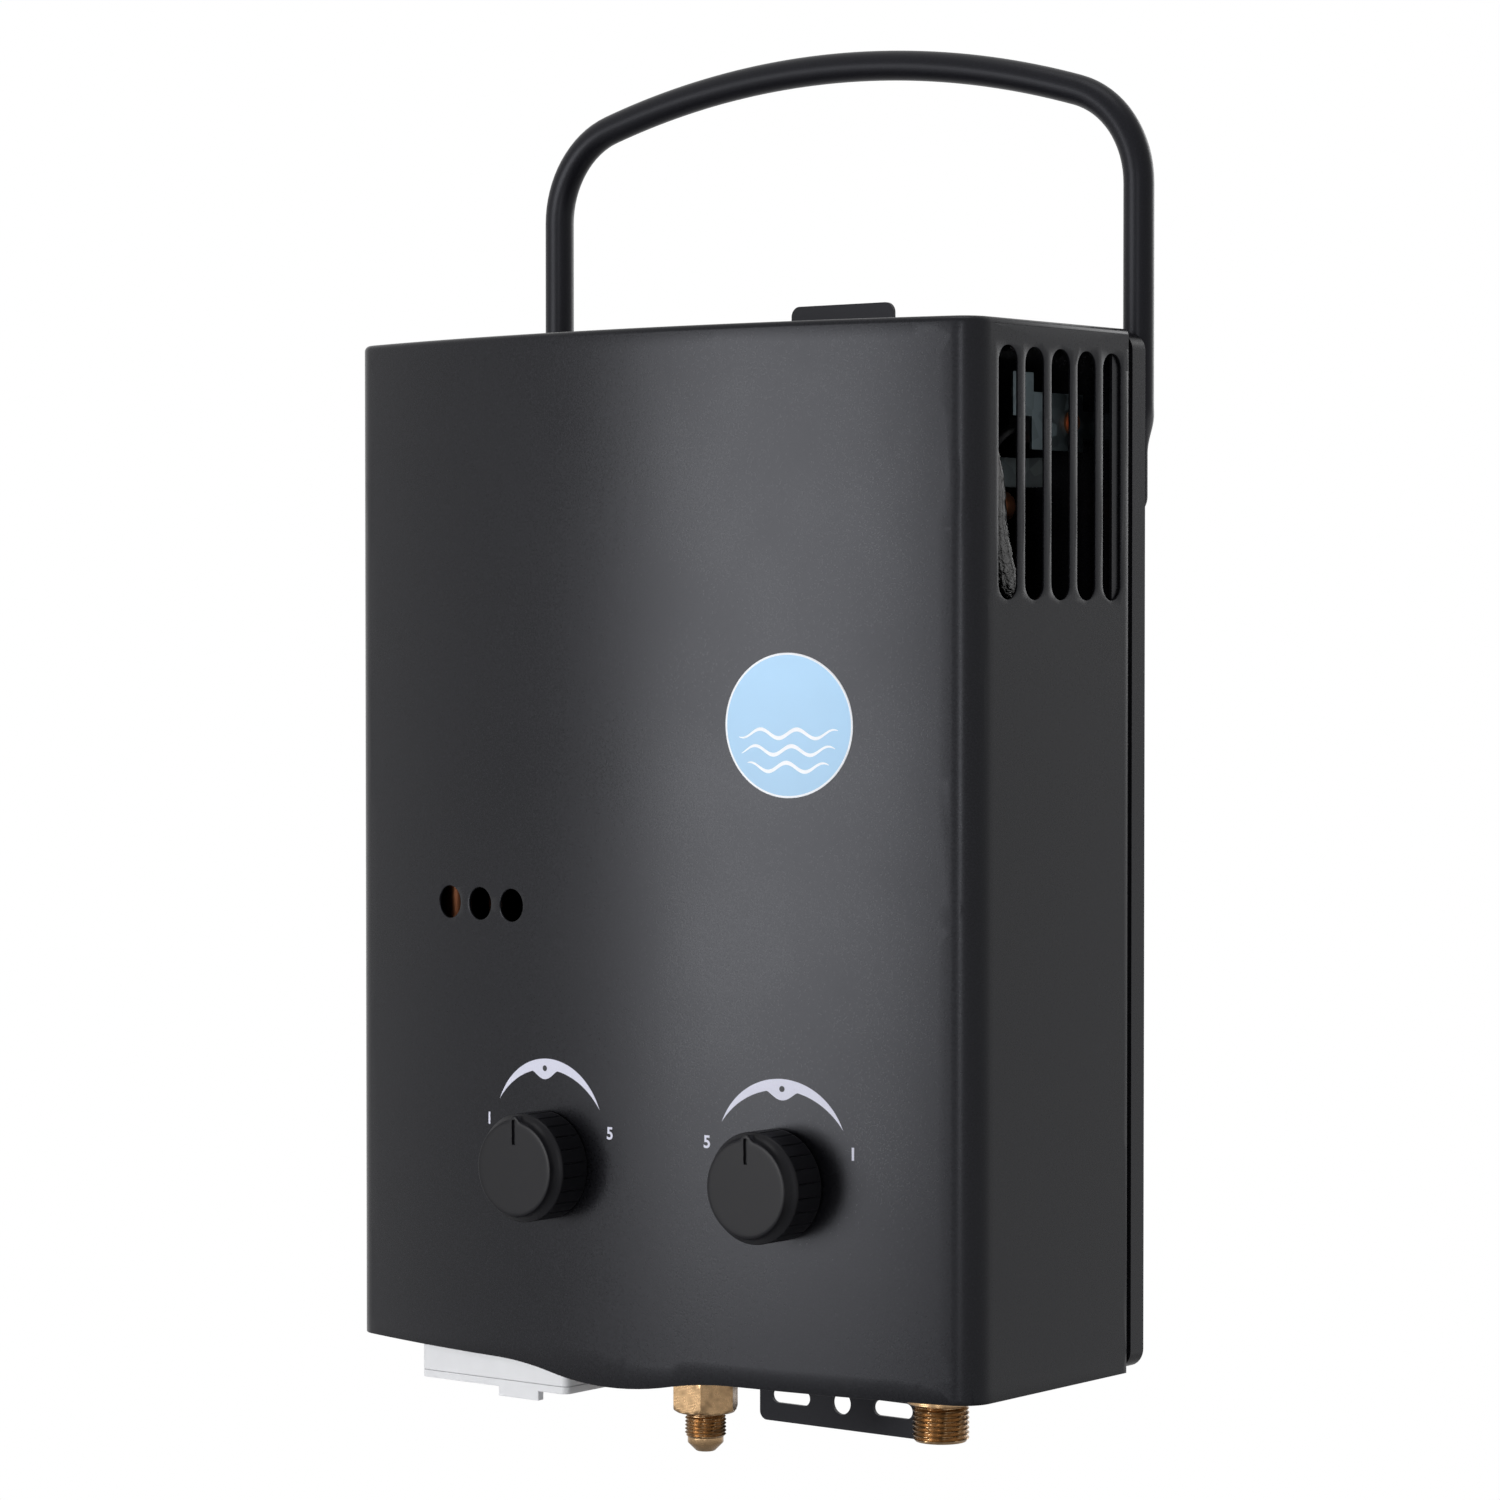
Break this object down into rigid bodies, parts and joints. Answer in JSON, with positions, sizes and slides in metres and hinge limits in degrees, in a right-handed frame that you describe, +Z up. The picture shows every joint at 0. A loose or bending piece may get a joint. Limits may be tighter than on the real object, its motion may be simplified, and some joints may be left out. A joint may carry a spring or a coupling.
{
  "type": "portable propane water heater",
  "caption": "Wall-hung portable gas water heater: bowed black casing with side slots, carry handle, two control knobs, brass fittings and a battery box.",
  "frame": {"origin": "centre of the hanging hole in the upper bracket, in the plane of the wall", "axes": "+X to the right seen from the front, -Y out of the wall towards the user, +Z up"},
  "size_m": [0.295, 0.1585, 0.5393],
  "materials": {
    "cover_black": "fine textured black powder coat",
    "bracket_black": "satin black powder coat",
    "galvanised": "galvanised sheet",
    "copper": "bare copper",
    "brass": "machined brass",
    "cast_alloy": "die-cast alloy",
    "knob_black": "satin moulded plastic",
    "white_plastic": "moulded white plastic",
    "dark_plastic": "moulded plastic",
    "steel": "zinc-plated steel",
    "ceramic": "glazed ceramic",
    "label_blue": "printed vinyl",
    "cell": "printed steel can",
    "tape_black": "shiny insulating tape"
  },
  "bodies": {
    "casing": {"front_cover": "cover_black", "back_plate": "cover_black", "base_plate": "bracket_black", "upper_bracket": "bracket_black", "lower_bracket": "bracket_black", "bracket_screws": "steel", "carry_handle": "bracket_black", "handle_screws": "steel", "cover_screws": "steel", "label_disc": "label_blue", "flue_hood": "galvanised", "exchanger_shell": "copper", "exchanger_fins": "copper", "exchanger_tube": "copper", "combustion_chamber": "copper", "chamber_coil": "copper", "chamber_brackets": "galvanised", "burner_tray": "galvanised", "burner_bars": "steel", "gas_manifold": "cast_alloy", "gas_jets": "brass", "gas_pipe": "cast_alloy", "gas_valve": "cast_alloy", "gas_inlet": "brass", "safety_solenoid": "steel", "water_valve": "brass", "diaphragm_cover": "brass", "diaphragm_screws": "steel", "micro_switch": "dark_plastic", "water_inlet": "brass", "hot_outlet": "brass", "cold_pipe": "copper", "hot_pipe": "copper", "pipe_nuts": "brass", "battery_box": "white_plastic", "lid_pin": "steel", "battery_cells": "cell", "battery_contacts": "steel", "igniter_module": "dark_plastic", "ignition_electrode": "ceramic", "flame_sensor": "ceramic", "cutoff_bracket": "galvanised", "cutoff_switch": "dark_plastic", "cutoff_screw": "copper", "cable_bundle": "tape_black", "cable_clip": "galvanised", "cutoff_lead": "dark_plastic", "ignition_lead": "dark_plastic"},
    "gas_control": {"gas_knob": "knob_black", "gas_spindle": "steel"},
    "water_control": {"water_knob": "knob_black", "water_spindle": "steel"},
    "battery_door": {"battery_lid": "white_plastic"},
    "link": {"link_rod": "steel"}
  },
  "joints": [
    {"name": "gas_knob_turn", "type": "hinge", "parent": "casing", "child": "gas_control", "pos_m": [-0.034, -0.14, -0.297], "axis": [0, -1, 0], "range_deg": [-60, 60]},
    {"name": "water_knob_turn", "type": "hinge", "parent": "casing", "child": "water_control", "pos_m": [0.073, -0.1377, -0.297], "axis": [0, -1, 0], "range_deg": [-60, 60]},
    {"name": "battery_lid_swing", "type": "hinge", "parent": "casing", "child": "battery_door", "pos_m": [-0.0815, -0.0426, -0.386], "axis": [1, 0, 0], "range_deg": [0, 95]},
    {"name": "link_rod_push", "type": "slide", "parent": "casing", "child": "link", "axis": [-1, 0, 0], "range_m": [0, 0.004], "stiffness_N_per_m": 50}
  ]
}
